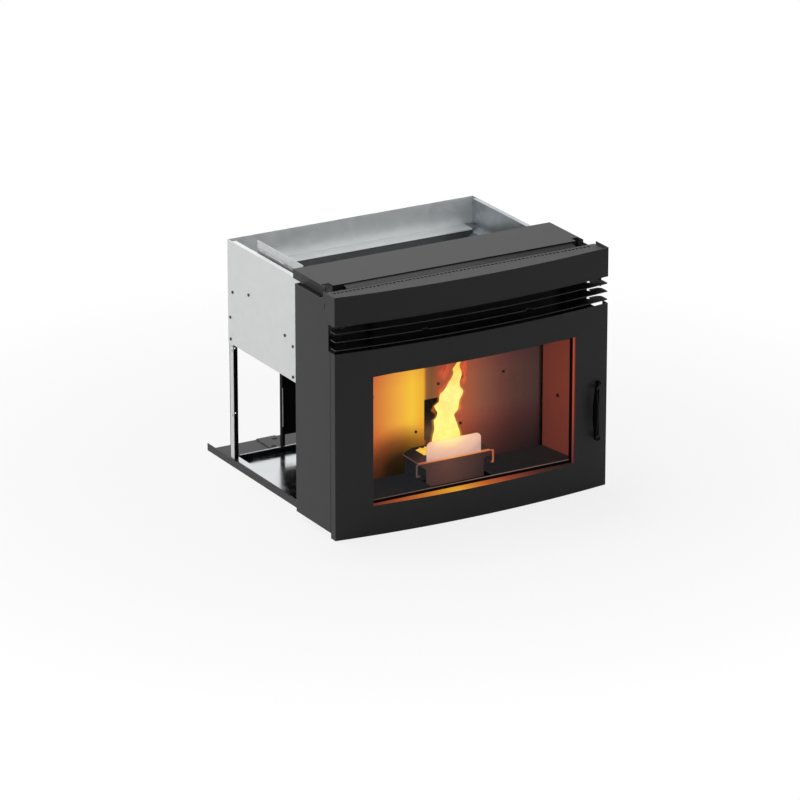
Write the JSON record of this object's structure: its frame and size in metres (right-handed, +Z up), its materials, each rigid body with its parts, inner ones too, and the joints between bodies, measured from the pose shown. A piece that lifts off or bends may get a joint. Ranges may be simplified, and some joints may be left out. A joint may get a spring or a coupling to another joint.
{
  "type": "pellet fireplace insert",
  "caption": "Built-in pellet fire with bowed glass door, louvre, rear fuel hopper with auger feed, burn pot and fans, on a carriage that pulls out of a floor tray",
  "frame": {"origin": "centre of the base tray's underside", "axes": "+Z up, -Y out of the bowed front, +X to the right seen from the front"},
  "size_m": [0.7, 0.6765, 0.567],
  "materials": {
    "front_paint": "satin dark grey enamel",
    "panel_paint": "satin mid-dark grey paint",
    "tray_paint": "satin grey paint",
    "black_paint": "matte black heat paint",
    "zinc": "galvanised sheet",
    "zinc_floor": "bright galvanised sheet",
    "rail_steel": "cold drawn",
    "shell_steel": "matte black heat paint",
    "liner": "matte fire board",
    "pot_iron": "burnt cast iron",
    "flame_plate": "heat tinted stainless",
    "motor": "black",
    "cast_alloy": "as cast",
    "glass": "clear ceramic glass",
    "seal": "black glass fibre rope",
    "grip": "black heat-proof grip",
    "handle_steel": "black",
    "plastic": "black moulding",
    "key": "red rocker",
    "screw": "zinc plated"
  },
  "bodies": {
    "base": {"base_tray": "tray_paint", "fixed_rails": "rail_steel", "anchor_plate": "tray_paint"},
    "carriage": {"runners": "rail_steel", "carriage_pan": "zinc_floor", "rear_posts": "zinc", "casing_left": "zinc", "casing_right": "zinc", "casing_rear": "zinc", "casing_front": "zinc", "hopper_bin": "zinc", "guide_plate": "zinc", "panel_brackets": "zinc", "auger_tube": "zinc", "drop_chute": "zinc", "air_inlet": "zinc", "flue_spigot": "zinc", "blower_housing": "zinc", "service_post": "black_paint", "service_panel": "black_paint", "front_frame": "black_paint", "hinge_brackets": "black_paint", "latch_keeper": "black_paint", "side_panel_left": "panel_paint", "side_panel_right": "panel_paint", "top_cover": "panel_paint", "top_strip": "panel_paint", "fascia": "front_paint", "slat_1": "front_paint", "slat_2": "front_paint", "slat_3": "front_paint", "firebox_shell": "shell_steel", "hearth_plate": "shell_steel", "ash_pan": "shell_steel", "pot_stand": "shell_steel", "liner_back": "liner", "side_liners": "liner", "baffle": "liner", "igniter": "rail_steel", "auger_gearmotor": "motor", "exhaust_motor": "motor", "blower_motor": "motor", "exhaust_housing": "cast_alloy", "control_box": "plastic", "power_inlet": "plastic", "screws": "screw"},
    "door": {"door_panel": "front_paint", "glass_seal": "seal", "door_glass": "glass", "door_inner_frame": "black_paint", "door_rope": "seal", "door_fittings": "black_paint"},
    "handle": {"handle_lever": "handle_steel", "handle_grip": "grip"},
    "pot": {"burn_pot": "pot_iron", "flame_plate": "flame_plate"},
    "auger": {"auger_screw": "rail_steel"},
    "exhaust_rotor": {"exhaust_impeller": "rail_steel"},
    "blower_rotor": {"blower_wheel": "rail_steel"},
    "rocker": {"switch_rocker": "key"}
  },
  "joints": [
    {"name": "carriage_slide", "type": "slide", "parent": "base", "child": "carriage", "axis": [0, -1, 0], "range_m": [0, 0.3]},
    {"name": "door_hinge", "type": "hinge", "parent": "carriage", "child": "door", "pos_m": [-0.3435, -0.325, 0.22], "axis": [0, 0, -1], "range_deg": [0, 90]},
    {"name": "handle_turn", "type": "hinge", "parent": "door", "child": "handle", "pos_m": [0.323, -0.3425, 0.187], "axis": [0, 0, 1], "range_deg": [0, 45]},
    {"name": "pot_lift", "type": "slide", "parent": "carriage", "child": "pot", "axis": [0, 0, 1], "range_m": [0, 0.06]},
    {"name": "auger_turn", "type": "hinge", "parent": "carriage", "child": "auger", "pos_m": [0, 0, 0.291], "axis": [0, 1, 0], "continuous": true},
    {"name": "exhaust_spin", "type": "hinge", "parent": "carriage", "child": "exhaust_rotor", "pos_m": [0.18, -0.06, 0.15], "axis": [0, 1, 0], "continuous": true},
    {"name": "blower_spin", "type": "hinge", "parent": "carriage", "child": "blower_rotor", "pos_m": [-0.09, -0.035, 0.1035], "axis": [1, 0, 0], "continuous": true},
    {"name": "rocker_tilt", "type": "hinge", "parent": "carriage", "child": "rocker", "pos_m": [0.15, 0.209, 0.212], "axis": [1, 0, 0], "range_deg": [-8, 8]}
  ]
}
